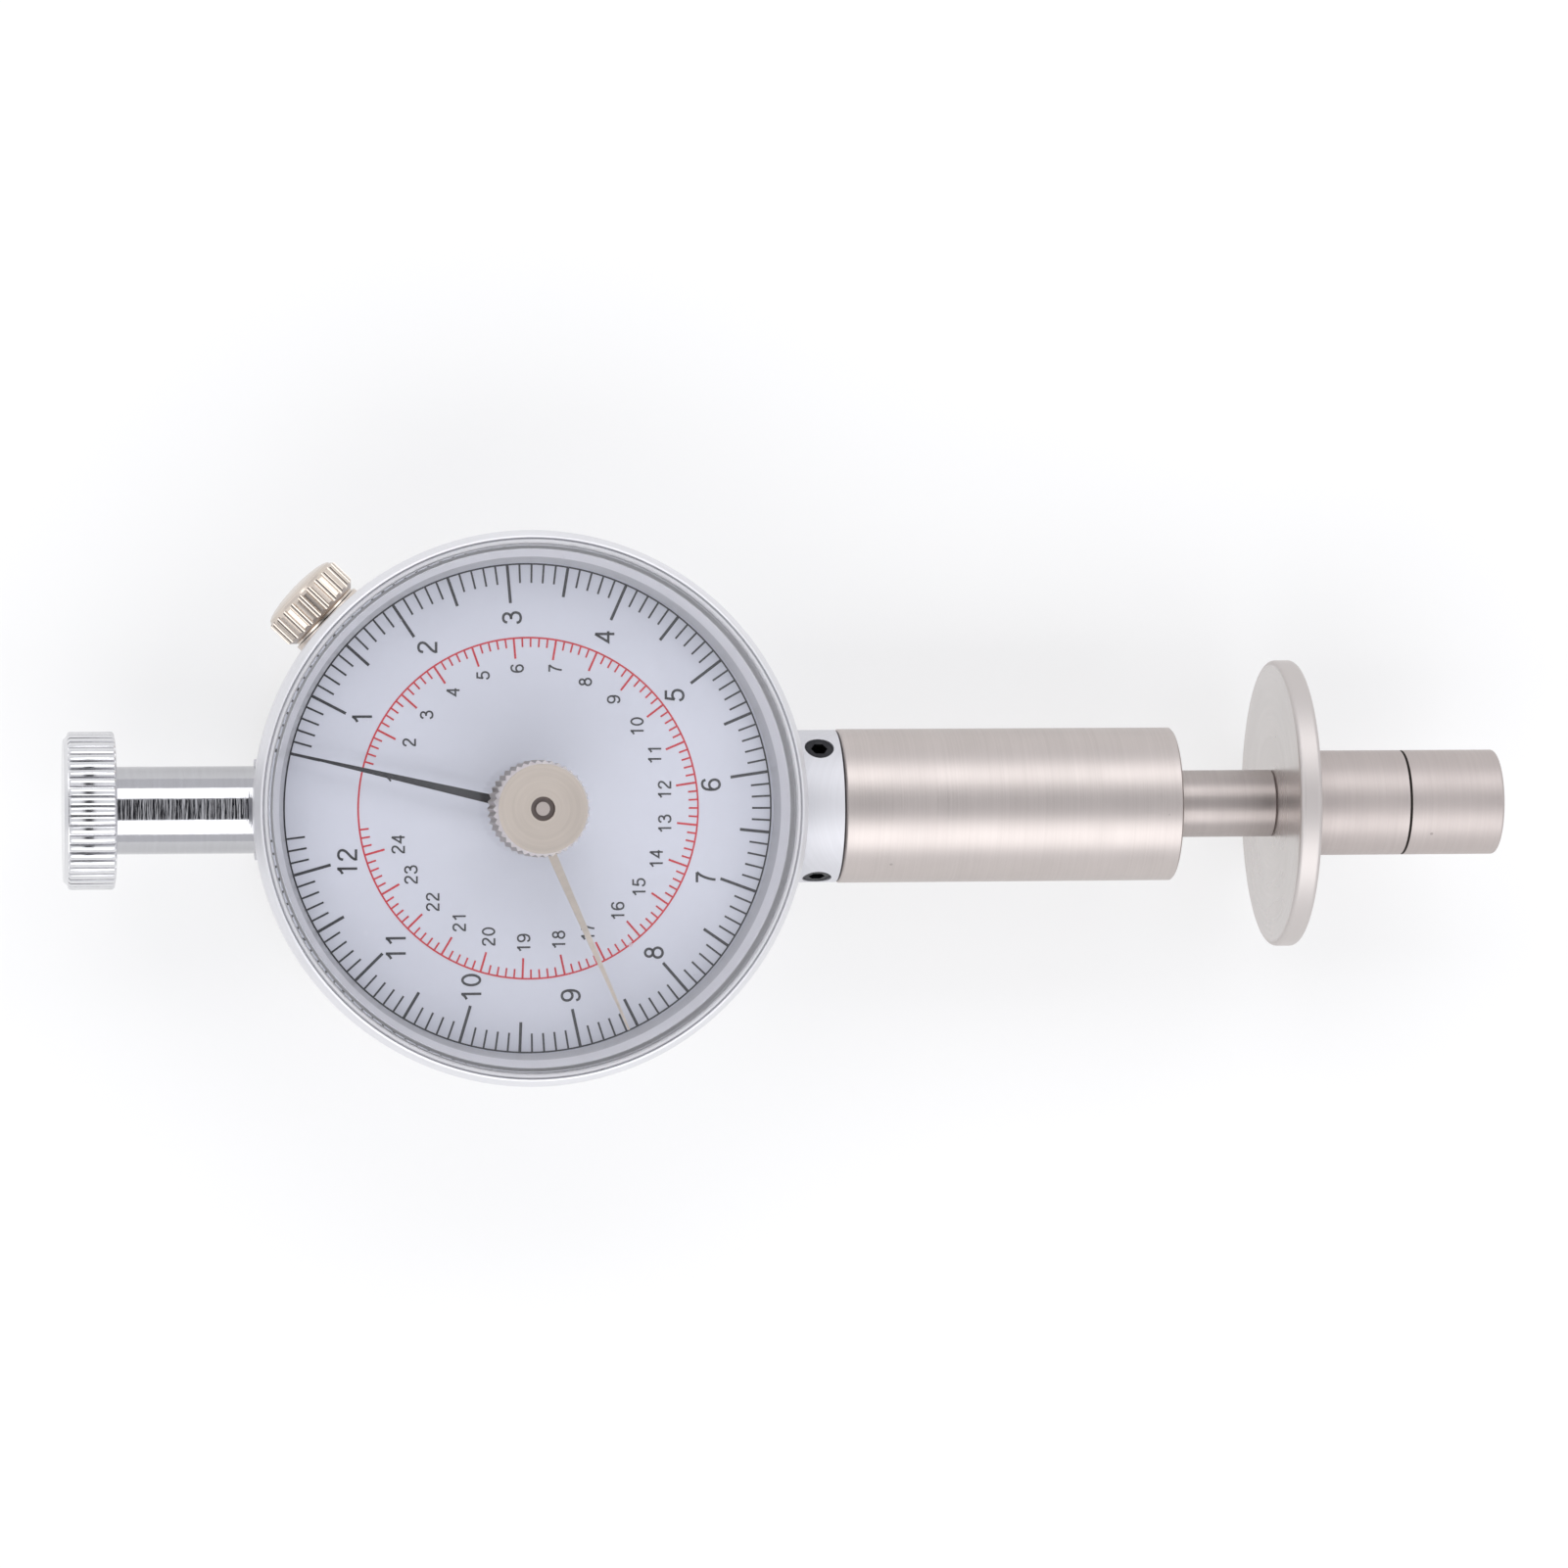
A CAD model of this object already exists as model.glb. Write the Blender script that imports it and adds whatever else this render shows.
import math

import bmesh
import bpy
from mathutils import Matrix, Vector

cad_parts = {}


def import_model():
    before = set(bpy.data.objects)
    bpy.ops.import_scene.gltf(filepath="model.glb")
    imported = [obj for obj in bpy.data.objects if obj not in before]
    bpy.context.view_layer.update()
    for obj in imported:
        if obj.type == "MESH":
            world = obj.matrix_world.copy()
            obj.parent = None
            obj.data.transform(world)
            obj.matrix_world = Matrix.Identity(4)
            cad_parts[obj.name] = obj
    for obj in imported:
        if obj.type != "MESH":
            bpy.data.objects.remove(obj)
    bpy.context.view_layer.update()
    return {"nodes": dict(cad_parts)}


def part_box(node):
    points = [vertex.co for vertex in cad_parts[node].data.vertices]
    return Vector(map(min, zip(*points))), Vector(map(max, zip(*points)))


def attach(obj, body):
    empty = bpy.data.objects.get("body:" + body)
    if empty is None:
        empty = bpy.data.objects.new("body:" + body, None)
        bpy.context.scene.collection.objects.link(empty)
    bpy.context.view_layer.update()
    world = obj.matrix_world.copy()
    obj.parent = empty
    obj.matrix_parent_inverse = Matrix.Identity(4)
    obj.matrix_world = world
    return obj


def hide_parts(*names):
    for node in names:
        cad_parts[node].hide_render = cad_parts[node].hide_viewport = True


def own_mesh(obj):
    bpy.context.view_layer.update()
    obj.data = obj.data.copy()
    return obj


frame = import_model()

# Camera.
# It stands 0.66 m over the floor, a little to the left of the dial, and looks along the photo's line of sight.
sight_target = Vector((0.027305, 0.002314, 0.0155))
sight_distance = 0.65325
sight_yaw, sight_pitch, sight_roll = math.radians(7.868), math.radians(0.061), math.radians(-0.337)
sight_back = Vector((
    -math.sin(sight_yaw) * math.cos(sight_pitch),
    math.sin(sight_pitch),
    math.cos(sight_yaw) * math.cos(sight_pitch),
))
level_right = (-sight_back).cross(Vector((0, 1, 0))).normalized()
level_up = level_right.cross(-sight_back)
sight_right = math.cos(sight_roll) * level_right + math.sin(sight_roll) * level_up
sight_up = math.cos(sight_roll) * level_up - math.sin(sight_roll) * level_right
camera = bpy.data.objects.new("camera", bpy.data.cameras.new("camera"))
camera.data.sensor_width = 36
camera.data.lens = 144.28
camera.data.clip_start = 0.01
camera.matrix_world = Matrix((sight_right, sight_up, sight_back)).transposed().to_4x4()
camera.matrix_world.translation = sight_target + sight_distance * sight_back
bpy.context.scene.collection.objects.link(camera)
bpy.context.scene.camera = camera
bpy.context.scene.view_settings.view_transform = "Standard"


# Floor.
# A plain white sheet of matt card, on which the tester lies on its case back.
def node(tree, kind, **values):
    made = tree.nodes.new(kind)
    for name, value in values.items():
        setattr(made, name, value)
    return made


def new_material(name):
    made = bpy.data.materials.new(name)
    made.use_nodes = True
    return made, made.node_tree, made.node_tree.nodes["Principled BSDF"].inputs


def mesh_piece(name, points, faces, material):
    mesh = bpy.data.meshes.new(name)
    mesh.from_pydata(points, [], faces)
    mesh.update()
    mesh.materials.append(material)
    made = bpy.data.objects.new(name, mesh)
    bpy.context.scene.collection.objects.link(made)
    return made


floor_paint, floor_tree, floor_in = new_material("floor_card")
floor_in["Base Color"].default_value = (0.42, 0.42, 0.42, 1)
floor_in["Roughness"].default_value = 0.95
floor_in["Emission Color"].default_value = (1, 1, 1, 1)
floor_in["Emission Strength"].default_value = 0.5
floor = mesh_piece(
    "floor", [(-3, -3, 0), (3, -3, 0), (3, 3, 0), (-3, 3, 0)], [(0, 1, 2, 3)], floor_paint)

# Studio light.
# Two long softboxes hang over the tester, one above and one below the picture, with a gap for the camera.
box_length, box_x, box_reach, box_lean = 1.1, 0.03, 0.62, math.radians(45)
for light_name, side, width, watts in (("softbox_up", 1, 0.31, 1.65), ("softbox_down", -1, 0.45, 2.35)):
    lamp = bpy.data.lights.new(light_name, "AREA")
    lamp.shape = "RECTANGLE"
    lamp.size, lamp.size_y = box_length, width
    lamp.energy = watts
    box = bpy.data.objects.new(light_name, lamp)
    away = Vector((box_x, side * box_reach * math.sin(box_lean), box_reach * math.cos(box_lean)))
    box.matrix_world = Matrix.Translation(away) @ Matrix.Rotation(-side * box_lean, 4, "X")
    bpy.context.scene.collection.objects.link(box)


# Room light.
# A pale, slightly cool room. Straight overhead it has one dark patch, where the camera and its stand are.
def math_node(tree, kind, a, b=None):
    made = node(tree, "ShaderNodeMath", operation=kind)
    for socket, value in zip(made.inputs, (a, b)):
        if value is None:
            continue
        if isinstance(value, (int, float)):
            socket.default_value = value
        else:
            tree.links.new(value, socket)
    return made.outputs[0]


def past(value, edge, blend, ends=(0, 1)):
    """A mask: 0 up to the edge and 1 from `blend` beyond it, with a smooth step between."""
    tree = value.id_data
    made = node(tree, "ShaderNodeMapRange", interpolation_type="SMOOTHSTEP")
    tree.links.new(value, made.inputs["Value"])
    for title, number in zip(("From Min", "From Max", "To Min", "To Max"), (edge, edge + blend, *ends)):
        made.inputs[title].default_value = number
    return made.outputs[0]


def before(value, edge, blend):
    """The reverse mask: 1 up to the edge and 0 from `blend` beyond it."""
    return past(value, edge, blend, (1, 0))


room = bpy.data.worlds.new("room")
room.use_nodes = True
room_tree = room.node_tree
room_way = node(room_tree, "ShaderNodeTexCoord")
room_part = node(room_tree, "ShaderNodeSeparateXYZ")
room_tree.links.new(room_way.outputs["Generated"], room_part.inputs[0])
overhead = math_node(room_tree, "MAXIMUM", room_part.outputs["Z"], 0.02)
slope_x = math_node(room_tree, "DIVIDE", room_part.outputs["X"], overhead)
slope_y = math_node(room_tree, "DIVIDE", room_part.outputs["Y"], overhead)
room_bright = before(slope_x, -0.34, 0.08)
for edge in (past(slope_x, 0.045, 0.05), before(slope_y, -0.47, 0.04), past(slope_y, 0.56, 0.04)):
    room_bright = math_node(room_tree, "MAXIMUM", room_bright, edge)
room_tone = node(room_tree, "ShaderNodeMix", data_type="RGBA")
room_tone.inputs["A"].default_value = (0.02, 0.02, 0.025, 1)
room_tone.inputs["B"].default_value = (0.85, 0.855, 0.89, 1)
room_tree.links.new(room_bright, room_tone.inputs["Factor"])
room_tree.links.new(room_tone.outputs["Result"], room_tree.nodes["Background"].inputs["Color"])
bpy.context.scene.world = room

# Case.
# A round cast case with the clamp collar, the stem's boss and the side knob's neck, turned and chrome plated.
# A plain cover closes its back, held by four countersunk screws.


def put_on(material, *names):
    for name in names:
        slots = frame["nodes"][name].data.materials
        if not slots:
            slots.append(material)
        for i in range(len(slots)):
            slots[i] = material


def group_io(name, inputs, outputs):
    group = bpy.data.node_groups.new(name, "ShaderNodeTree")
    for title, kind, value in inputs:
        socket = group.interface.new_socket(title, in_out="INPUT", socket_type=kind)
        if value is not None:
            socket.default_value = value
    for title, kind in outputs:
        group.interface.new_socket(title, in_out="OUTPUT", socket_type=kind)
    return group, node(group, "NodeGroupInput"), node(group, "NodeGroupOutput")


# Tool marks of the lathe: rings across the turned part's axis, which is the point's Z.
lathe_group, lathe_in, lathe_out = group_io(
    "lathe_marks",
    [("Point", "NodeSocketVector", None), ("Marks per m", "NodeSocketFloat", 3000.0),
     ("Around per m", "NodeSocketFloat", 60.0)],
    [("Marks", "NodeSocketFloat"), ("Bands", "NodeSocketFloat"), ("Cloud", "NodeSocketFloat")])
lathe_part = node(lathe_group, "ShaderNodeSeparateXYZ")
lathe_group.links.new(lathe_in.outputs["Point"], lathe_part.inputs[0])
lathe_flat = node(lathe_group, "ShaderNodeCombineXYZ")
lathe_group.links.new(lathe_part.outputs["X"], lathe_flat.inputs["X"])
lathe_group.links.new(lathe_part.outputs["Y"], lathe_flat.inputs["Y"])
lathe_reach = node(lathe_group, "ShaderNodeVectorMath", operation="LENGTH")
lathe_group.links.new(lathe_flat.outputs[0], lathe_reach.inputs[0])
lathe_along = math_node(lathe_group, "ADD", lathe_part.outputs["Z"], lathe_reach.outputs["Value"])
for title, share, detail in (("Marks", 1.0, 3.0), ("Bands", 0.09, 2.0)):
    stretched = node(lathe_group, "ShaderNodeCombineXYZ")
    around = lathe_in.outputs["Around per m"]
    lathe_group.links.new(math_node(lathe_group, "MULTIPLY", lathe_part.outputs["X"], around), stretched.inputs["X"])
    lathe_group.links.new(math_node(lathe_group, "MULTIPLY", lathe_part.outputs["Y"], around), stretched.inputs["Y"])
    tempo = math_node(lathe_group, "MULTIPLY", lathe_in.outputs["Marks per m"], share)
    lathe_group.links.new(math_node(lathe_group, "MULTIPLY", lathe_along, tempo), stretched.inputs["Z"])
    rings = node(lathe_group, "ShaderNodeTexNoise")
    rings.inputs["Scale"].default_value = 1.0
    rings.inputs["Detail"].default_value = detail
    lathe_group.links.new(stretched.outputs[0], rings.inputs["Vector"])
    lathe_group.links.new(rings.outputs["Fac"], lathe_out.inputs[title])
cloud = node(lathe_group, "ShaderNodeTexNoise")
cloud.inputs["Scale"].default_value = 160.0
cloud.inputs["Detail"].default_value = 4.0
lathe_group.links.new(lathe_in.outputs["Point"], cloud.inputs["Vector"])
lathe_group.links.new(cloud.outputs["Fac"], lathe_out.inputs["Cloud"])

# Wear from handling: small dark specks in some of the cells, and short hairline scratches that cross each other.
wear_group, wear_in, wear_out = group_io(
    "handling_wear",
    [("Point", "NodeSocketVector", None), ("Specks per m", "NodeSocketFloat", 420.0)],
    [("Specks", "NodeSocketFloat"), ("Scratches", "NodeSocketFloat")])
speck_cells = node(wear_group, "ShaderNodeTexVoronoi")
wear_group.links.new(wear_in.outputs["Point"], speck_cells.inputs["Vector"])
wear_group.links.new(wear_in.outputs["Specks per m"], speck_cells.inputs["Scale"])
speck_pick = node(wear_group, "ShaderNodeSeparateColor")
wear_group.links.new(speck_cells.outputs["Color"], speck_pick.inputs[0])
empty_share, speck_r = 0.82, 0.07
has_speck = math_node(wear_group, "GREATER_THAN", speck_pick.outputs[0], empty_share)
speck_size = math_node(wear_group, "MULTIPLY", has_speck, speck_r)
speck_mask = math_node(wear_group, "LESS_THAN", speck_cells.outputs["Distance"], speck_size)
wear_group.links.new(speck_mask, wear_out.inputs["Specks"])
scratch_stretch, scratch_level, scratch_sum = (900, 40, 40), 0.74, None
for turn, seed in ((0.5, 3.0), (2.1, 17.0)):
    swing = node(wear_group, "ShaderNodeMapping")
    swing.inputs["Rotation"].default_value = (0.4 * turn, turn, 1.3 * turn)
    swing.inputs["Location"].default_value = (seed, seed, seed)
    swing.inputs["Scale"].default_value = scratch_stretch
    wear_group.links.new(wear_in.outputs["Point"], swing.inputs["Vector"])
    hair = node(wear_group, "ShaderNodeTexNoise")
    hair.inputs["Scale"].default_value = 1.0
    hair.inputs["Detail"].default_value = 1.0
    wear_group.links.new(swing.outputs[0], hair.inputs["Vector"])
    line = math_node(wear_group, "GREATER_THAN", hair.outputs["Fac"], scratch_level)
    scratch_sum = line if scratch_sum is None else math_node(wear_group, "MAXIMUM", scratch_sum, line)
wear_group.links.new(scratch_sum, wear_out.inputs["Scratches"])

# The axis that a part turned about on the lathe: the dial's, the tool's or the side knob's. Each is the location and
# the rotation of the mapping that lays this axis on Z.
axis_z, side_z, side_turn = 0.0155, 0.01785, math.radians(136)
ALONG_Z = ((0, 0, 0), (0, 0, 0))
ALONG_X = ((axis_z, 0, 0), (0, -math.pi / 2, 0))
ALONG_SIDE = ((side_z, 0, 0), (math.pi / 2, side_turn - math.pi / 2, -math.pi / 2))


def lathe_point(tree, lathe):
    place = node(tree, "ShaderNodeMapping")
    place.inputs["Location"].default_value, place.inputs["Rotation"].default_value = lathe
    tree.links.new(node(tree, "ShaderNodeTexCoord").outputs["Object"], place.inputs["Vector"])
    return place.outputs[0]


def turned_metal(name, colour, dull_colour, roughness, spread, marks, around, bump, lathe=ALONG_X, wear=0.5):
    """A turned metal: its tool marks shade the colour, spread the gloss and lift the surface by `bump` metres."""
    made, tree, into = new_material(name)
    into["Metallic"].default_value = 1.0
    rings = node(tree, "ShaderNodeGroup", node_tree=lathe_group)
    rings.inputs["Marks per m"].default_value = marks
    rings.inputs["Around per m"].default_value = around
    tree.links.new(lathe_point(tree, lathe), rings.inputs["Point"])
    used = node(tree, "ShaderNodeGroup", node_tree=wear_group)
    tree.links.new(node(tree, "ShaderNodeTexCoord").outputs["Object"], used.inputs["Point"])
    tone = math_node(tree, "ADD", math_node(tree, "MULTIPLY", rings.outputs["Marks"], 0.55),
                     math_node(tree, "MULTIPLY", rings.outputs["Cloud"], 0.45))
    shade = node(tree, "ShaderNodeMapRange")
    shade.inputs["From Min"].default_value = 0.3
    shade.inputs["From Max"].default_value = 0.7
    tree.links.new(tone, shade.inputs["Value"])
    base = node(tree, "ShaderNodeMix", data_type="RGBA")
    base.inputs["A"].default_value = (*dull_colour, 1)
    base.inputs["B"].default_value = (*colour, 1)
    tree.links.new(shade.outputs[0], base.inputs["Factor"])
    marked = node(tree, "ShaderNodeMix", data_type="RGBA", blend_type="MULTIPLY")
    marked.inputs["B"].default_value = (0.35, 0.33, 0.32, 1)
    tree.links.new(base.outputs["Result"], marked.inputs["A"])
    tree.links.new(math_node(tree, "MULTIPLY", used.outputs["Specks"], wear), marked.inputs["Factor"])
    tree.links.new(marked.outputs["Result"], into["Base Color"])
    gloss = math_node(tree, "MULTIPLY", rings.outputs["Bands"], 2 * spread)
    gloss = math_node(tree, "ADD", gloss, roughness - spread)
    gloss = math_node(tree, "ADD", gloss, math_node(tree, "MULTIPLY", used.outputs["Scratches"], 0.1 * wear))
    tree.links.new(gloss, into["Roughness"])
    lift = node(tree, "ShaderNodeBump")
    lift.inputs["Strength"].default_value = 1.0
    lift.inputs["Distance"].default_value = bump
    tree.links.new(math_node(tree, "ADD", rings.outputs["Marks"], rings.outputs["Bands"]), lift.inputs["Height"])
    tree.links.new(lift.outputs[0], into["Normal"])
    return made


def refinish(material, mask, colour, roughness):
    """Where the mask is 1, the metal has this colour and roughness instead of its own."""
    tree = material.node_tree
    into = tree.nodes["Principled BSDF"].inputs
    for socket, kind, value in ((into["Base Color"], "RGBA", (*colour, 1)), (into["Roughness"], "FLOAT", roughness)):
        blend = node(tree, "ShaderNodeMix", data_type=kind)
        tree.links.new(socket.links[0].from_socket, blend.inputs["A"])
        blend.inputs["B"].default_value = value
        tree.links.new(mask, blend.inputs["Factor"])
        tree.links.new(blend.outputs["Result"], socket)


def lathe_place(material, lathe):
    """The distance of a point from the lathe's axis, and its place along that axis."""
    tree = material.node_tree
    part = node(tree, "ShaderNodeSeparateXYZ")
    tree.links.new(lathe_point(tree, lathe), part.inputs[0])
    x, y = (math_node(tree, "MULTIPLY", part.outputs[axis], part.outputs[axis]) for axis in "XY")
    return math_node(tree, "SQRT", math_node(tree, "ADD", x, y)), part.outputs["Z"]


def both(mask, other_mask):
    return math_node(mask.id_data, "MULTIPLY", mask, other_mask)


case_chrome = turned_metal(
    "case_chrome", (0.66, 0.66, 0.69), (0.61, 0.61, 0.635), 0.58, 0.05, 2600, 60, 8e-6, ALONG_Z)
case_chrome.node_tree.nodes["Principled BSDF"].inputs["Metallic"].default_value = 0.7
# The neck is nickel, like the side knob.
neck_r, neck_root = 0.00425, 0.0266
side_reach, side_along = lathe_place(case_chrome, ALONG_SIDE)
neck_mask = both(before(side_reach, neck_r, 0.00005), past(side_along, neck_root, 0.0002))
refinish(case_chrome, neck_mask, (0.66, 0.585, 0.52), 0.3)
back_nickel = turned_metal(
    "back_cover_nickel", (0.72, 0.69, 0.66), (0.62, 0.6, 0.57), 0.3, 0.08, 1800, 40, 2e-6, ALONG_Z)
screw_steel = turned_metal(
    "screw_steel", (0.62, 0.62, 0.63), (0.5, 0.5, 0.51), 0.3, 0.08, 2500, 60, 1e-6, ALONG_Z)
put_on(case_chrome, "case_shell")
put_on(back_nickel, "back_cover")
put_on(screw_steel, "cover_screws")

# Movement.
# Two brass plates on four pillars, screwed to the shelf in the case. They carry the arbor with its pinion, and the
# roller that keeps the rack in mesh. Plates, pillars and bushes are turned brass, and the rest is plain steel.
plate_brass = turned_metal(
    "movement_brass", (0.79, 0.6, 0.28), (0.66, 0.48, 0.2), 0.28, 0.08, 2200, 60, 1.5e-6, ALONG_Z)
arbor_steel = turned_metal(
    "arbor_steel", (0.6, 0.6, 0.62), (0.48, 0.48, 0.5), 0.22, 0.06, 3000, 60, 1e-6, ALONG_Z)
put_on(plate_brass, "movement_back_plate", "movement_front_plate", "movement_pillars", "arbor_bushes", "pinion")
put_on(arbor_steel, "movement_screws", "base_screws", "arbor", "roller_stud", "backing_roller")

# Dial.
# A thin metal disc with pale blue satin lacquer. Its two scales and their numbers are screen printed on it.
dial_lacquer, dial_tree, dial_in = new_material("dial_lacquer")
dial_coords = node(dial_tree, "ShaderNodeTexCoord")
dial_grain = node(dial_tree, "ShaderNodeTexNoise")
dial_grain.inputs["Scale"].default_value = 90.0
dial_grain.inputs["Detail"].default_value = 3.0
dial_tree.links.new(dial_coords.outputs["Object"], dial_grain.inputs["Vector"])
dial_tone = node(dial_tree, "ShaderNodeMix", data_type="RGBA")
dial_tone.inputs["A"].default_value = (0.51, 0.52, 0.587, 1)
dial_tone.inputs["B"].default_value = (0.55, 0.56, 0.625, 1)
dial_tree.links.new(dial_grain.outputs["Fac"], dial_tone.inputs["Factor"])
dial_tree.links.new(dial_tone.outputs["Result"], dial_in["Base Color"])
dial_peel = node(dial_tree, "ShaderNodeTexNoise")
dial_peel.inputs["Scale"].default_value = 2600.0
dial_tree.links.new(dial_coords.outputs["Object"], dial_peel.inputs["Vector"])
dial_gloss = node(dial_tree, "ShaderNodeMapRange")
dial_gloss.inputs["To Min"].default_value = 0.38
dial_gloss.inputs["To Max"].default_value = 0.5
dial_tree.links.new(dial_peel.outputs["Fac"], dial_gloss.inputs["Value"])
dial_tree.links.new(dial_gloss.outputs[0], dial_in["Roughness"])
dial_bump = node(dial_tree, "ShaderNodeBump")
dial_bump.inputs["Distance"].default_value = 2e-6
dial_tree.links.new(dial_peel.outputs["Fac"], dial_bump.inputs["Height"])
dial_tree.links.new(dial_bump.outputs[0], dial_in["Normal"])
put_on(dial_lacquer, "dial_plate")


def coat(name, dark, pale, roughness, grains, bump=None):
    """Ink, lacquer or rubber: fine grains shade it, and lift its surface by `bump` metres."""
    made, tree, into = new_material(name)
    grain = node(tree, "ShaderNodeTexNoise")
    grain.inputs["Scale"].default_value = grains
    tree.links.new(node(tree, "ShaderNodeTexCoord").outputs["Object"], grain.inputs["Vector"])
    tone = node(tree, "ShaderNodeMix", data_type="RGBA")
    tone.inputs["A"].default_value = (*dark, 1)
    tone.inputs["B"].default_value = (*pale, 1)
    tree.links.new(grain.outputs["Fac"], tone.inputs["Factor"])
    tree.links.new(tone.outputs["Result"], into["Base Color"])
    into["Roughness"].default_value = roughness
    if bump:
        dents = node(tree, "ShaderNodeBump")
        dents.inputs["Distance"].default_value = bump
        tree.links.new(grain.outputs["Fac"], dents.inputs["Height"])
        tree.links.new(dents.outputs[0], into["Normal"])
    return made


black_ink = coat("black_print", (0.012, 0.012, 0.016), (0.0292, 0.0292, 0.0356), 0.5, 4000)
red_ink = coat("red_print", (0.36, 0.006, 0.016), (0.586, 0.0196, 0.0356), 0.5, 4000)


def repeat_tree(name, *inputs):
    """A Geometry Nodes tree with these (title, kind) inputs, the identifiers of their sockets, and the inputs."""
    tree = bpy.data.node_groups.new(name, "GeometryNodeTree")
    tree.interface.new_socket("Geometry", in_out="OUTPUT", socket_type="NodeSocketGeometry")
    sockets = {}
    for title, kind in inputs:
        socket = tree.interface.new_socket(title, in_out="INPUT", socket_type="NodeSocket" + kind)
        sockets[title] = socket.identifier
    return tree, sockets, node(tree, "NodeGroupInput").outputs


def end_tree(tree, repeats, material):
    """Makes the repeats real and paints them."""
    real = node(tree, "GeometryNodeRealizeInstances")
    tree.links.new(repeats.outputs[0], real.inputs[0])
    paint = node(tree, "GeometryNodeSetMaterial")
    tree.links.new(real.outputs[0], paint.inputs["Geometry"])
    tree.links.new(material, paint.inputs["Material"])
    tree.links.new(paint.outputs[0], node(tree, "NodeGroupOutput").inputs[0])


def either(tree, mask, at_one, at_zero):
    """The first value where the mask is 1, the other where it is 0."""
    made = node(tree, "ShaderNodeMix", data_type="FLOAT")
    for socket, value in zip(made.inputs[:1] + made.inputs[2:4], (mask, at_zero, at_one)):
        tree.links.new(value, socket)
    return made.outputs[0]


# The ticks of a scale stand round a rim, each longer at a fifth and at a tenth place.
tick_tree, tick_sockets, tick_in = repeat_tree(
    "scale_ticks",
    ("Count", "Int"), ("First place", "Int"), ("Zero angle", "Float"), ("Angle step", "Float"), ("Rim radius", "Float"),
    ("Short length", "Float"), ("Fifth length", "Float"), ("Tenth length", "Float"), ("Thin width", "Float"),
    ("Wide width", "Float"), ("Height", "Float"), ("Thickness", "Float"), ("Ink", "Material"))
tick_spots = node(tick_tree, "GeometryNodePoints")
tick_tree.links.new(tick_in["Count"], tick_spots.inputs["Count"])
tick_place = math_node(tick_tree, "ADD", node(tick_tree, "GeometryNodeInputIndex").outputs[0], tick_in["First place"])


def every(count):
    return math_node(tick_tree, "LESS_THAN", math_node(tick_tree, "MODULO", tick_place, count), 0.5)


tick_length = either(tick_tree, every(5), tick_in["Fifth length"], tick_in["Short length"])
tick_length = either(tick_tree, every(10), tick_in["Tenth length"], tick_length)
tick_width = either(tick_tree, every(5), tick_in["Wide width"], tick_in["Thin width"])
tick_angle = math_node(
    tick_tree, "SUBTRACT", tick_in["Zero angle"], math_node(tick_tree, "MULTIPLY", tick_place, tick_in["Angle step"]))
tick_reach = math_node(tick_tree, "SUBTRACT", tick_in["Rim radius"], math_node(tick_tree, "MULTIPLY", tick_length, 0.5))
tick_spot = node(tick_tree, "ShaderNodeCombineXYZ")
for axis, wave in (("X", "COSINE"), ("Y", "SINE")):
    tick_tree.links.new(
        math_node(tick_tree, "MULTIPLY", tick_reach, math_node(tick_tree, wave, tick_angle)), tick_spot.inputs[axis])
tick_tree.links.new(tick_in["Height"], tick_spot.inputs["Z"])
tick_move = node(tick_tree, "GeometryNodeSetPosition")
tick_tree.links.new(tick_spots.outputs[0], tick_move.inputs["Geometry"])
tick_tree.links.new(tick_spot.outputs[0], tick_move.inputs["Position"])
tick_turn = node(tick_tree, "ShaderNodeCombineXYZ")
tick_tree.links.new(tick_angle, tick_turn.inputs["Z"])
tick_size = node(tick_tree, "ShaderNodeCombineXYZ")
for axis, value in (("X", tick_length), ("Y", tick_width), ("Z", tick_in["Thickness"])):
    tick_tree.links.new(value, tick_size.inputs[axis])
tick_bar = node(tick_tree, "GeometryNodeMeshCube")
tick_set = node(tick_tree, "GeometryNodeInstanceOnPoints")
tick_tree.links.new(tick_move.outputs[0], tick_set.inputs["Points"])
tick_tree.links.new(tick_bar.outputs["Mesh"], tick_set.inputs["Instance"])
tick_tree.links.new(tick_turn.outputs[0], tick_set.inputs["Rotation"])
tick_tree.links.new(tick_size.outputs[0], tick_set.inputs["Scale"])
end_tree(tick_tree, tick_set, tick_in["Ink"])


def grown(name, tree, sockets, values):
    """A plain mesh object made by a Geometry Nodes tree with these input values."""
    seed = bpy.data.objects.new(name + "_seed", bpy.data.meshes.new(name + "_seed"))
    bpy.context.scene.collection.objects.link(seed)
    maker = seed.modifiers.new("maker", "NODES")
    maker.node_group = tree
    for title, value in values.items():
        maker[sockets[title]] = value
    bpy.context.view_layer.update()
    result = bpy.data.meshes.new_from_object(seed.evaluated_get(bpy.context.evaluated_depsgraph_get()))
    bpy.data.objects.remove(seed)
    result.name = name
    made = bpy.data.objects.new(name, result)
    bpy.context.scene.collection.objects.link(made)
    return made


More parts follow.
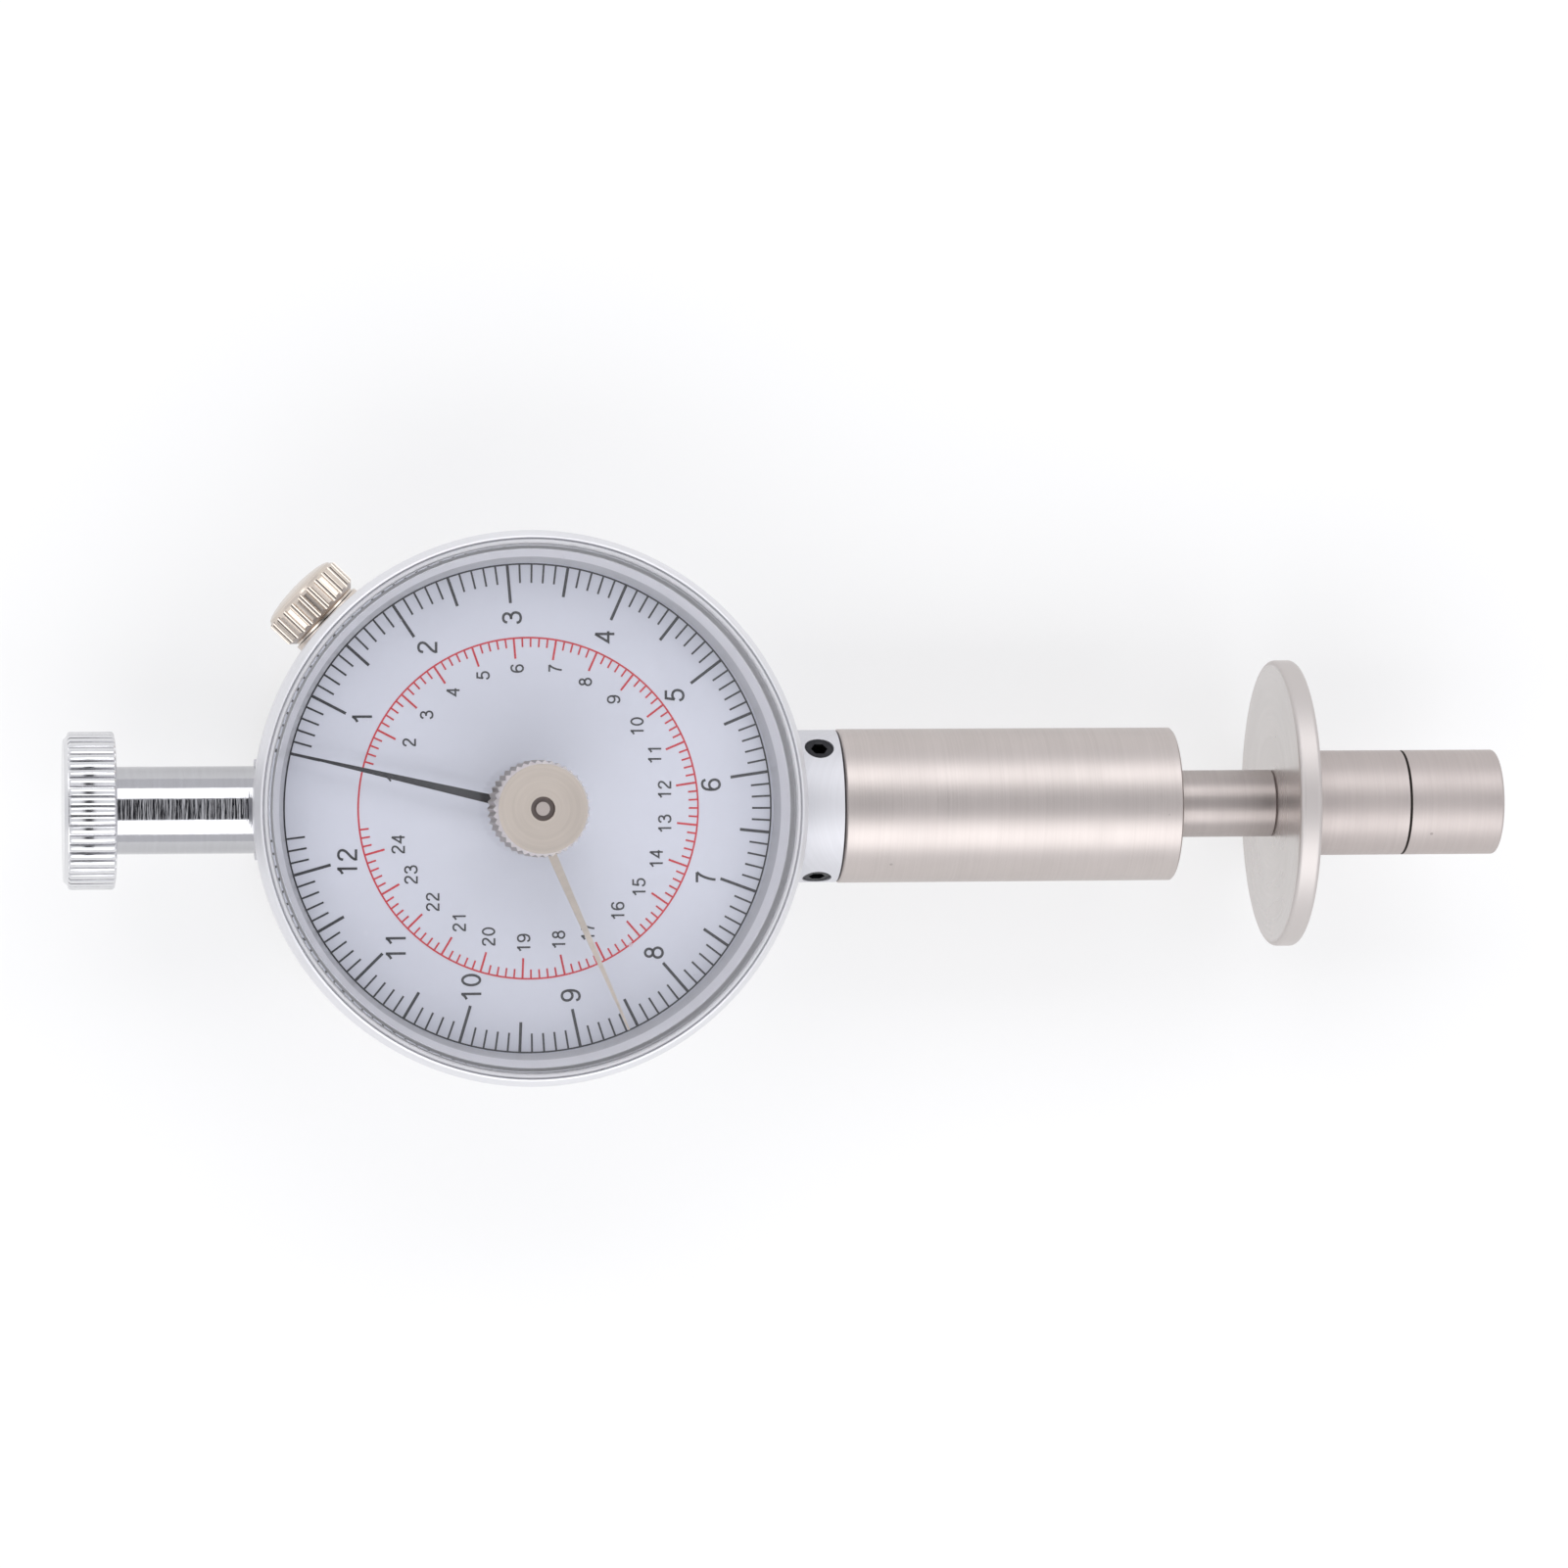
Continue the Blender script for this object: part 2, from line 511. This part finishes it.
# Both scales run from reading 0.5 to 12.3, in tenths. Circles and numbers are thinner than the ticks that they touch,
# so that no two prints share a face.
dial_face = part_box("dial_plate")[1][2]
tick_print, circle_print, number_print = 20e-6, 18e-6, 16e-6
both_scales = {
    "Count": 119, "First place": 5, "Zero angle": math.radians(181.15), "Angle step": math.radians(2.88),
    "Height": dial_face + tick_print / 2, "Thickness": tick_print}
outer_ticks = grown("outer_scale_ticks", tick_tree, tick_sockets, {
    **both_scales, "Rim radius": 0.025, "Short length": 0.00195, "Fifth length": 0.0031, "Tenth length": 0.00395,
    "Thin width": 0.0002, "Wide width": 0.0003, "Ink": black_ink})
inner_ticks = grown("inner_scale_ticks", tick_tree, tick_sockets, {
    **both_scales, "Rim radius": 0.01745, "Short length": 0.00095, "Fifth length": 0.0021, "Tenth length": 0.0021,
    "Thin width": 0.00018, "Wide width": 0.00021, "Ink": red_ink})


def shade_smooth(mesh, hard_from):
    """Smooth shading, with edges sharper than this many degrees left hard."""
    mesh.polygons.foreach_set("use_smooth", [True] * len(mesh.polygons))
    mesh.set_sharp_from_angle(angle=math.radians(hard_from))


def lathed(name, profile, material, lay=Matrix()):
    """A ring or disc turned about Z from a closed (radius, z) profile, counterclockwise in the radius and z plane.
    The matrix `lay` then puts it in its place."""
    sides = 180
    points, faces = [], []
    for i in range(sides):
        turn = 2 * math.pi * i / sides
        points += [lay @ Vector((r * math.cos(turn), r * math.sin(turn), z)) for r, z in profile]
    count = len(profile)
    for i in range(sides):
        a, b = i * count, (i + 1) % sides * count
        faces += [(a + k, b + k, b + (k + 1) % count, a + (k + 1) % count) for k in range(count)]
    made = mesh_piece(name, points, faces, material)
    closed = bmesh.new()
    closed.from_mesh(made.data)
    bmesh.ops.remove_doubles(closed, verts=closed.verts, dist=1e-8)
    closed.to_mesh(made.data)
    closed.free()
    shade_smooth(made.data, 30)
    return made


def printed_circle(name, inner, outer, ink):
    low, high = dial_face, dial_face + circle_print
    return lathed(name, [(inner, low), (outer, low), (outer, high), (inner, high)], ink)


outer_circle = printed_circle("outer_scale_circle", 0.02491, 0.02508, black_ink)
inner_circle = printed_circle("inner_scale_circle", 0.01736, 0.01754, red_ink)

# Numbers.
# They are drawn as thin strokes of even width, in a cell one unit high and 0.56 wide.
RING = [(0.5 + 0.5 * math.cos(math.tau * i / 28), 0.5 + 0.5 * math.sin(math.tau * i / 28)) for i in range(29)]


def ring(x, y, half_w, half_h):
    return [(x + (2 * u - 1) * half_w, y + (2 * v - 1) * half_h) for u, v in RING]


six = [(0.49, 0.77), (0.45, 0.88), (0.37, 0.935), (0.28, 0.94), (0.17, 0.89), (0.10, 0.78), (0.065, 0.63), (0.06, 0.45),
       (0.085, 0.25), (0.16, 0.11), (0.28, 0.06), (0.39, 0.09), (0.47, 0.18), (0.495, 0.31), (0.47, 0.45), (0.39, 0.55),
       (0.28, 0.585), (0.17, 0.55), (0.10, 0.47), (0.07, 0.38)]
# Each stroke is (curved, points).
DIGITS = {
    "0": [(False, ring(0.28, 0.5, 0.22, 0.44))],
    "1": [(False, [(0.34, 0.0), (0.34, 1.0)]), (True, [(0.11, 0.73), (0.2, 0.79), (0.28, 0.87), (0.34, 0.97)])],
    "2": [(True, [(0.075, 0.7), (0.09, 0.81), (0.15, 0.9), (0.27, 0.94), (0.39, 0.91), (0.46, 0.83), (0.475, 0.72),
                  (0.44, 0.6), (0.34, 0.47), (0.2, 0.32), (0.11, 0.19), (0.07, 0.06)]),
          (False, [(0.03, 0.06), (0.51, 0.06)])],
    "3": [(True, [(0.07, 0.74), (0.1, 0.85), (0.17, 0.92), (0.27, 0.94), (0.38, 0.91), (0.45, 0.82), (0.45, 0.7),
                  (0.39, 0.6), (0.3, 0.55), (0.21, 0.545)]),
          (True, [(0.21, 0.545), (0.33, 0.54), (0.43, 0.49), (0.49, 0.4), (0.5, 0.28), (0.46, 0.15), (0.37, 0.08),
                  (0.26, 0.06), (0.15, 0.09), (0.08, 0.17), (0.06, 0.27)])],
    "4": [(False, [(0.41, 0.0), (0.41, 0.97)]), (False, [(0.41, 0.97), (0.06, 0.31), (0.53, 0.31)])],
    "5": [(False, [(0.49, 0.94), (0.15, 0.94), (0.095, 0.5)]),
          (True, [(0.095, 0.5), (0.17, 0.58), (0.28, 0.615), (0.4, 0.58), (0.48, 0.48), (0.5, 0.34), (0.47, 0.2),
                  (0.39, 0.1), (0.27, 0.06), (0.16, 0.09), (0.09, 0.16), (0.06, 0.27)])],
    "6": [(True, six)],
    "7": [(False, [(0.06, 0.94), (0.5, 0.94)]),
          (True, [(0.5, 0.94), (0.39, 0.79), (0.3, 0.6), (0.23, 0.38), (0.19, 0.18), (0.17, 0.0)])],
    "8": [(False, ring(0.28, 0.745, 0.17, 0.195)), (False, ring(0.28, 0.305, 0.215, 0.245))],
    "9": [(True, [(0.56 - x, 1 - y) for x, y in six])],
}


def eased(points, steps=4):
    """The same points joined by a smooth curve."""
    line = [Vector(p) for p in points]
    line = [2 * line[0] - line[1], *line, 2 * line[-1] - line[-2]]
    made = []
    for a, b, c, d in zip(line, line[1:], line[2:], line[3:]):
        for i in range(steps):
            t = i / steps
            made.append(0.5 * (2 * b + (c - a) * t + (2 * a - 5 * b + 4 * c - d) * t ** 2
                               + (3 * b - a - 3 * c + d) * t ** 3))
    return made + [line[-2]]


def add_stroke(points, faces, line, width, low, high):
    """Adds one stroke of even width to the lists, as a thin closed solid."""
    line = [Vector(p) for p in line]
    closed = (line[0] - line[-1]).length < 1e-9
    if closed:
        line.pop()
    count = len(line)
    start = len(points)
    for i, here in enumerate(line):
        behind = line[i - 1] if closed or i else here
        ahead = line[(i + 1) % count] if closed or i < count - 1 else here
        ways = [w.normalized() for w in (here - behind, ahead - here) if w.length > 1e-12]
        mean = sum(ways, Vector((0, 0))).normalized()
        side = Vector((-mean.y, mean.x)) * width / 2 / max(0.5, mean.dot(ways[0]))
        for edge in (here + side, here - side):
            points += [(*edge, low), (*edge, high)]
    for i in range(count if closed else count - 1):
        a, b = start + 4 * i, start + 4 * ((i + 1) % count)
        faces += [
            (a + 1, a + 3, b + 3, b + 1), (a, b, b + 2, a + 2), (a, a + 1, b + 1, b), (a + 2, b + 2, b + 3, a + 3)]
    if not closed:
        a, b = start, start + 4 * (count - 1)
        faces += [(a, a + 2, a + 3, a + 1), (b, b + 1, b + 3, b + 2)]


def numbers(name, places, height, stroke):
    """The numbers 1, 2, 3 ... at these places on the dial, in mm. They read along +Y, and their tops point to -X."""
    points, faces = [], []
    low, high = dial_face, dial_face + number_print
    cell_middle, stretch, advance = 0.28, 1.15, 0.76
    for value, (x, y) in enumerate(places, 1):
        word = str(value)
        for i, digit in enumerate(word):
            shift = (i - (len(word) - 1) / 2) * advance
            for curved, line in DIGITS[digit]:
                flat = [(stretch * (u - cell_middle) + shift, v - 0.5) for u, v in line]
                laid = [(x / 1000 - height * v, y / 1000 + height * u) for u, v in flat]
                add_stroke(points, faces, eased(laid) if curved else laid, stroke, low, high)
    return mesh_piece(name, points, faces, black_ink)


outer_numbers = numbers("outer_numbers", [
    (-17.0, 9.3), (-10.3, 16.5), (-1.6, 19.5), (7.9, 17.5), (15.1, 11.5), (18.8, 2.3), (18.2, -7.2), (12.8, -14.9),
    (4.2, -19.2), (-6.0, -18.3), (-13.7, -14.1), (-18.6, -5.4)], height=0.00205, stroke=0.00026)
inner_numbers = numbers("inner_numbers", [
    (-13.8, 3.1), (-12.2, 6.8), (-10.4, 9.6), (-7.7, 11.9), (-4.6, 13.6), (-1.1, 14.3), (2.8, 14.3), (5.9, 12.9),
    (8.8, 11.1), (11.2, 8.3), (13.0, 5.4), (14.0, 1.8), (14.0, -1.7), (13.1, -5.3), (11.3, -8.2), (9.1, -10.6),
    (6.0, -12.7), (3.0, -13.5), (-0.6, -13.8), (-4.2, -13.1), (-7.2, -11.6), (-9.9, -9.5), (-12.1, -6.7),
    (-13.4, -3.6)], height=0.00137, stroke=0.00019)
for printed in (outer_ticks, inner_ticks, outer_circle, inner_circle, outer_numbers, inner_numbers):
    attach(printed, "dial")

# Hands.
# The pointer is black lacquered steel. The peak hand above it is bright nickel, and a small peg hangs from it.
put_on(coat("pointer_lacquer", (0.008, 0.008, 0.01), (0.03, 0.03, 0.035), 0.35, 1500, 3e-6), "pointer")
hand_nickel = turned_metal(
    "peak_hand_nickel", (0.72, 0.64, 0.56), (0.62, 0.55, 0.48), 0.34, 0.08, 2400, 300, 2e-6, ALONG_Z, 0.3)
put_on(hand_nickel, "peak_hand")

# Bezel.
# A turned ring with a bevel, two fine grooves and a deep sloped inner wall, chrome plated. A grey gasket lies in it
# under the crystal.
bezel_chrome = turned_metal(
    "bezel_chrome", (0.72, 0.72, 0.745), (0.67, 0.67, 0.69), 0.4, 0.05, 3200, 160, 2e-6, ALONG_Z, 0.6)
bezel_chrome.node_tree.nodes["Principled BSDF"].inputs["Metallic"].default_value = 0.55
# Inside its lip the ring is duller, and its inner wall is darker still.
lip_r, wall_r, finish_blend = 0.02692, 0.02562, 0.00006
bezel_reach, _ = lathe_place(bezel_chrome, ALONG_Z)
refinish(bezel_chrome, before(bezel_reach, lip_r, finish_blend), (0.68, 0.68, 0.705), 0.45)
refinish(bezel_chrome, before(bezel_reach, wall_r, finish_blend), (0.49, 0.49, 0.51), 0.42)
put_on(bezel_chrome, "bezel")
put_on(coat("grey_gasket", (0.74, 0.74, 0.77), (0.8, 0.8, 0.83), 0.6, 3000, 8e-6), "crystal_seal")

# Crystal.
# A flat disc of clear acrylic, with a little dust and a few hairline scratches. It lets the light through to the dial.
clear, clear_tree, clear_in = new_material("clear_crystal")
clear_in["Base Color"].default_value = (0.985, 0.99, 1, 1)
clear_in["Metallic"].default_value = 0.0
clear_in["Transmission Weight"].default_value = 1.0
clear_in["IOR"].default_value = 1.45
clear_wear = node(clear_tree, "ShaderNodeGroup", node_tree=wear_group)
clear_wear.inputs["Specks per m"].default_value = 300.0
clear_tree.links.new(node(clear_tree, "ShaderNodeTexCoord").outputs["Object"], clear_wear.inputs["Point"])
clear_marks = math_node(clear_tree, "MAXIMUM", math_node(clear_tree, "MULTIPLY", clear_wear.outputs["Specks"], 0.25),
                        math_node(clear_tree, "MULTIPLY", clear_wear.outputs["Scratches"], 0.04))
clear_tree.links.new(math_node(clear_tree, "ADD", clear_marks, 0.01), clear_in["Roughness"])
clear_path = node(clear_tree, "ShaderNodeLightPath")
clear_see = node(clear_tree, "ShaderNodeBsdfTransparent")
clear_mix = node(clear_tree, "ShaderNodeMixShader")
clear_out = clear_tree.nodes["Material Output"]
clear_tree.links.new(clear_path.outputs["Is Shadow Ray"], clear_mix.inputs[0])
clear_tree.links.new(clear_tree.nodes["Principled BSDF"].outputs[0], clear_mix.inputs[1])
clear_tree.links.new(clear_see.outputs[0], clear_mix.inputs[2])
clear_tree.links.new(clear_mix.outputs[0], clear_out.inputs["Surface"])
put_on(clear, "crystal")

# Reset knob.
# A tall nickel knob with a knurled side and a faced top. It is pressed on a steel spindle, which turns in a flanged
# bush in the crystal. A brass washer below gives it friction.
knob_nickel = turned_metal(
    "knob_nickel", (0.77, 0.69, 0.62), (0.67, 0.6, 0.535), 0.4, 0.06, 3600, 120, 3e-6, ALONG_Z, 0.5)
# Round the plain face the knob's upper edge is bright, and the knurl below it is dark.
knob_reach, knob_height = lathe_place(knob_nickel, ALONG_Z)
knob_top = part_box("reset_knob")[1][2]
face_r, flank_drop = 0.00448, 0.0018
knob_side = past(knob_reach, face_r, 0.00004)
refinish(knob_nickel, knob_side, (0.88, 0.82, 0.77), 0.3)
refinish(knob_nickel, both(knob_side, before(knob_height, knob_top - flank_drop, 0.0004)), (0.4, 0.35, 0.31), 0.35)
spindle_steel = turned_metal(
    "reset_spindle_steel", (0.74, 0.66, 0.62), (0.66, 0.59, 0.55), 0.34, 0.06, 3000, 60, 1e-6, ALONG_Z)
# The spindle's end is bright in the middle, with a dark ring round it.
bright_r = 0.00069
spindle_reach, _ = lathe_place(spindle_steel, ALONG_Z)
refinish(spindle_steel, past(spindle_reach, bright_r, 0.00002), (0.2, 0.17, 0.16), 0.4)
bush_steel = turned_metal(
    "crystal_bush_steel", (0.74, 0.73, 0.72), (0.66, 0.65, 0.64), 0.36, 0.06, 3000, 60, 1e-6, ALONG_Z)
put_on(knob_nickel, "reset_knob")
put_on(spindle_steel, "reset_spindle")
put_on(bush_steel, "crystal_bush", "bush_nut")
put_on(plate_brass, "friction_washer")

# Side knob.
# A small domed nickel knob with coarse grooves, on a steel shaft in a brass bush. Its inner end carries the rubber
# roller that turns the dial.
side_nickel = turned_metal(
    "side_knob_nickel", (0.69, 0.615, 0.545), (0.6, 0.53, 0.465), 0.2, 0.05, 3000, 200, 1.5e-6, ALONG_SIDE, 0.5)
side_steel = turned_metal(
    "side_shaft_steel", (0.62, 0.62, 0.63), (0.52, 0.52, 0.53), 0.25, 0.06, 2500, 60, 1e-6, ALONG_SIDE)
side_brass = turned_metal(
    "side_bush_brass", (0.79, 0.6, 0.28), (0.66, 0.48, 0.2), 0.28, 0.08, 2200, 60, 1.5e-6, ALONG_SIDE)
put_on(side_nickel, "side_knob")
put_on(side_steel, "side_shaft", "shaft_clip")
put_on(side_brass, "side_bush")
put_on(coat("roller_rubber", (0.02, 0.02, 0.02), (0.06, 0.06, 0.06), 0.75, 3000, 8e-6), "friction_roller")

# Stem and end knob.
# The stem is turned and chrome plated over fine tool marks. The knurled cap screws on its end and sets the stop pin.
stem_chrome = turned_metal(
    "stem_chrome", (0.52, 0.52, 0.54), (0.475, 0.475, 0.49), 0.09, 0.03, 2600, 160, 3.4e-5, ALONG_X, 0.8)
cap_chrome = turned_metal(
    "end_knob_chrome", (0.74, 0.74, 0.755), (0.69, 0.69, 0.705), 0.2, 0.04, 2600, 300, 8e-6, ALONG_X, 0.5)
pin_steel = turned_metal(
    "pin_steel", (0.62, 0.62, 0.63), (0.52, 0.52, 0.53), 0.25, 0.06, 2500, 60, 1e-6, ALONG_X)
put_on(stem_chrome, "stem")

# The cap's rim has flat straight teeth with fine slits between them. One tooth is a bar that tapers to its crest
# and slopes down at both ends, and the tree sets it round the rim.
rim_tree, rim_sockets, rim_in = repeat_tree(
    "rim_teeth",
    ("Count", "Int"), ("Start", "Float"), ("Length", "Float"), ("Root radius", "Float"), ("Tip radius", "Float"),
    ("Root width", "Float"), ("Crest width", "Float"), ("End slope", "Float"), ("Axis height", "Float"),
    ("Metal", "Material"))
rim_bar = node(rim_tree, "GeometryNodeMeshCube")
for title, number in (("Size", (1, 1, 1)), ("Vertices X", 4), ("Vertices Y", 4), ("Vertices Z", 2)):
    rim_bar.inputs[title].default_value = number
bar_part = node(rim_tree, "ShaderNodeSeparateXYZ")
rim_tree.links.new(node(rim_tree, "GeometryNodeInputPosition").outputs[0], bar_part.inputs[0])
is_crest = math_node(rim_tree, "GREATER_THAN", bar_part.outputs["Z"], 0.0)
is_end = math_node(rim_tree, "GREATER_THAN", math_node(rim_tree, "ABSOLUTE", bar_part.outputs["X"]), 0.3)
is_side = math_node(rim_tree, "GREATER_THAN", math_node(rim_tree, "ABSOLUTE", bar_part.outputs["Y"]), 0.3)
half_length = math_node(rim_tree, "MULTIPLY", rim_in["Length"], 0.5)
inner_x = math_node(rim_tree, "SUBTRACT", half_length, rim_in["End slope"])
bar_x = either(rim_tree, is_end, half_length, inner_x)
bar_x = math_node(rim_tree, "MULTIPLY", math_node(rim_tree, "SIGN", bar_part.outputs["X"]), bar_x)
root_half = math_node(rim_tree, "MULTIPLY", rim_in["Root width"], 0.5)
crest_half = math_node(rim_tree, "MULTIPLY", rim_in["Crest width"], 0.5)
crest_y = either(rim_tree, is_side, crest_half, math_node(rim_tree, "MULTIPLY", crest_half, 0.55))
root_y = either(rim_tree, is_side, root_half, math_node(rim_tree, "MULTIPLY", root_half, 0.4))
bar_y = either(rim_tree, is_crest, crest_y, root_y)
bar_y = math_node(rim_tree, "MULTIPLY", math_node(rim_tree, "SIGN", bar_part.outputs["Y"]), bar_y)
end_r = math_node(rim_tree, "SUBTRACT", rim_in["Tip radius"], rim_in["End slope"])
tip_r = either(rim_tree, is_end, end_r, rim_in["Tip radius"])
side_r = math_node(rim_tree, "SUBTRACT", tip_r, math_node(rim_tree, "MULTIPLY", crest_half, 0.3))
tip_r = either(rim_tree, is_side, side_r, tip_r)
bar_z = either(rim_tree, is_crest, tip_r, rim_in["Root radius"])
bar_spot = node(rim_tree, "ShaderNodeCombineXYZ")
for axis, value in (("X", bar_x), ("Y", bar_y), ("Z", bar_z)):
    rim_tree.links.new(value, bar_spot.inputs[axis])
bar_shaped = node(rim_tree, "GeometryNodeSetPosition")
rim_tree.links.new(rim_bar.outputs["Mesh"], bar_shaped.inputs["Geometry"])
rim_tree.links.new(bar_spot.outputs[0], bar_shaped.inputs["Position"])
rim_spots = node(rim_tree, "GeometryNodePoints")
rim_tree.links.new(rim_in["Count"], rim_spots.inputs["Count"])
rim_place = node(rim_tree, "ShaderNodeCombineXYZ")
rim_tree.links.new(math_node(rim_tree, "ADD", rim_in["Start"], half_length), rim_place.inputs["X"])
rim_tree.links.new(rim_in["Axis height"], rim_place.inputs["Z"])
rim_tree.links.new(rim_place.outputs[0], rim_spots.inputs["Position"])
rim_turn = node(rim_tree, "ShaderNodeCombineXYZ")
rim_step = math_node(rim_tree, "DIVIDE", math.tau, rim_in["Count"])
rim_angle = math_node(rim_tree, "MULTIPLY", node(rim_tree, "GeometryNodeInputIndex").outputs[0], rim_step)
rim_tree.links.new(rim_angle, rim_turn.inputs["X"])
rim_set = node(rim_tree, "GeometryNodeInstanceOnPoints")
rim_tree.links.new(rim_spots.outputs[0], rim_set.inputs["Points"])
rim_tree.links.new(bar_shaped.outputs[0], rim_set.inputs["Instance"])
rim_tree.links.new(rim_turn.outputs[0], rim_set.inputs["Rotation"])
end_tree(rim_tree, rim_set, rim_in["Metal"])

knob_low, knob_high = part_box("end_knob")
knob_x, knob_len, knob_r = knob_low[0], knob_high[0] - knob_low[0], (knob_high[1] - knob_low[1]) / 2
tooth_depth, tooth_sink, outer_margin, inner_margin = 0.00042, 0.0001, 0.00045, 0.0001
core_r = knob_r - tooth_depth
knob_teeth = grown("end_knob_teeth", rim_tree, rim_sockets, {
    "Count": 50, "Start": knob_x + outer_margin, "Length": knob_len - outer_margin - inner_margin,
    "Root radius": core_r - tooth_sink, "Tip radius": knob_r, "Root width": 0.00094, "Crest width": 0.00074,
    "End slope": 0.0002, "Axis height": axis_z, "Metal": cap_chrome})
outer_bevel, inner_bevel, bore_r, cap_wall = 0.0004, 0.0003, 0.00365, 0.0011
knob_core = lathed("end_knob_core", [
    (0, 0), (core_r - outer_bevel, 0), (core_r, outer_bevel), (core_r, knob_len - inner_bevel),
    (core_r - inner_bevel, knob_len), (bore_r, knob_len), (bore_r, cap_wall), (0, cap_wall)], cap_chrome,
    lay=Matrix(((0, 0, 1, knob_x), (0, 1, 0, 0), (-1, 0, 0, axis_z), (0, 0, 0, 1))))
for cap_piece in (knob_teeth, knob_core):
    shade_smooth(cap_piece.data, 40)
    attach(cap_piece, "end_cap")
    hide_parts("end_knob")
put_on(pin_steel, "stop_pin")

# Barrel.
# A satin nickel tube, finished round its axis on the lathe. Its spigot is clamped in the collar by three black socket
# screws. Brass bushes carry the rod, and the measuring spring lies round it.
barrel_nickel = turned_metal(
    "barrel_nickel", (0.56, 0.51, 0.49), (0.505, 0.46, 0.44), 0.43, 0.05, 5200, 60, 1.8e-5, ALONG_X, 0.4)
bush_brass = turned_metal(
    "rod_bush_brass", (0.79, 0.6, 0.28), (0.66, 0.48, 0.2), 0.25, 0.08, 2200, 60, 1.5e-6, ALONG_X)
spring_steel = turned_metal(
    "spring_wire", (0.36, 0.36, 0.38), (0.26, 0.26, 0.28), 0.32, 0.08, 1600, 400, 1.5e-6, ALONG_X)
screw_black = turned_metal(
    "set_screw_black", (0.05, 0.05, 0.055), (0.02, 0.02, 0.024), 0.4, 0.1, 2500, 600, 3e-6, ALONG_X, 0.2)
put_on(barrel_nickel, "barrel_tube")
put_on(bush_brass, "rear_bush", "front_bush")
put_on(screw_black, "set_screws")
put_on(pin_steel, "spring_collar", "collar_pin", "rack_bar")

# The measuring spring is one wire with closed end turns, and it shortens as the rod comes in.
coil_low, coil_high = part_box("main_spring")
wire_r, coil_turns, coil_rings, wire_sides = 0.0008, 8, 40, 12
coil_r = (coil_high[1] - coil_low[1]) / 2 - wire_r
coil_start, coil_end = coil_low[0] + wire_r, coil_high[0] - wire_r
end_pitch = 0.0021
open_pitch = (coil_end - coil_start - 2 * end_pitch) / (coil_turns - 2)
wire_points, wire_faces = [], []
for i in range(coil_rings * coil_turns + 1):
    t = i / coil_rings
    along = coil_start + end_pitch * (min(t, 1) + max(0, t - coil_turns + 1)) + open_pitch * max(
        0, min(t - 1, coil_turns - 2))
    for k in range(wire_sides):
        swing, turn = math.tau * k / wire_sides, math.tau * t
        out = coil_r + wire_r * math.cos(swing)
        wire_points.append((along + wire_r * math.sin(swing), out * math.cos(turn), axis_z + out * math.sin(turn)))
for i in range(coil_rings * coil_turns):
    for k in range(wire_sides):
        a, b = i * wire_sides + k, i * wire_sides + (k + 1) % wire_sides
        wire_faces.append((a, a + wire_sides, b + wire_sides, b))
wire_faces.append(tuple(range(wire_sides)))
wire_faces.append(tuple(range(len(wire_points) - 1, len(wire_points) - wire_sides - 1, -1)))
coil = mesh_piece("spring_coil", wire_points, wire_faces, spring_steel)
shade_smooth(coil.data, 40)
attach(coil, "case")
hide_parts("main_spring")
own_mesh(coil)

# Plunger.
# A turned steel rod carries the polished guard disc and the press head, which has a fine depth line.
rod_metal = turned_metal(
    "rod_steel", (0.455, 0.41, 0.395), (0.4, 0.36, 0.345), 0.44, 0.05, 4600, 90, 1.2e-5, ALONG_X, 0.4)
disc_metal = turned_metal(
    "disc_steel", (0.645, 0.61, 0.595), (0.58, 0.55, 0.535), 0.26, 0.08, 3000, 60, 4e-6, ALONG_X, 0.6)
head_metal = turned_metal(
    "head_steel", (0.53, 0.48, 0.46), (0.48, 0.43, 0.415), 0.52, 0.05, 4600, 90, 2e-5, ALONG_X, 0.5)
# The disc's rim is satin, and dirt has settled in the depth line.
polish_r = 0.0144
disc_reach, _ = lathe_place(disc_metal, ALONG_X)
refinish(disc_metal, past(disc_reach, polish_r, 0.0003), (0.57, 0.535, 0.52), 0.5)
line_depth, line_half, line_floor_r = 0.01, 0.00014, 0.00545
line_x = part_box("press_head")[1][0] - line_depth
head_reach, head_along = lathe_place(head_metal, ALONG_X)
from_line = math_node(head_metal.node_tree, "ABSOLUTE", math_node(head_metal.node_tree, "SUBTRACT", head_along, line_x))
line_mask = both(before(head_reach, line_floor_r, 0.00005), before(from_line, line_half, 0.00004))
refinish(head_metal, line_mask, (0.05, 0.045, 0.04), 0.7)
put_on(rod_metal, "plunger_rod")
put_on(disc_metal, "guard_disc")
put_on(head_metal, "press_head")
put_on(pin_steel, "head_stud")
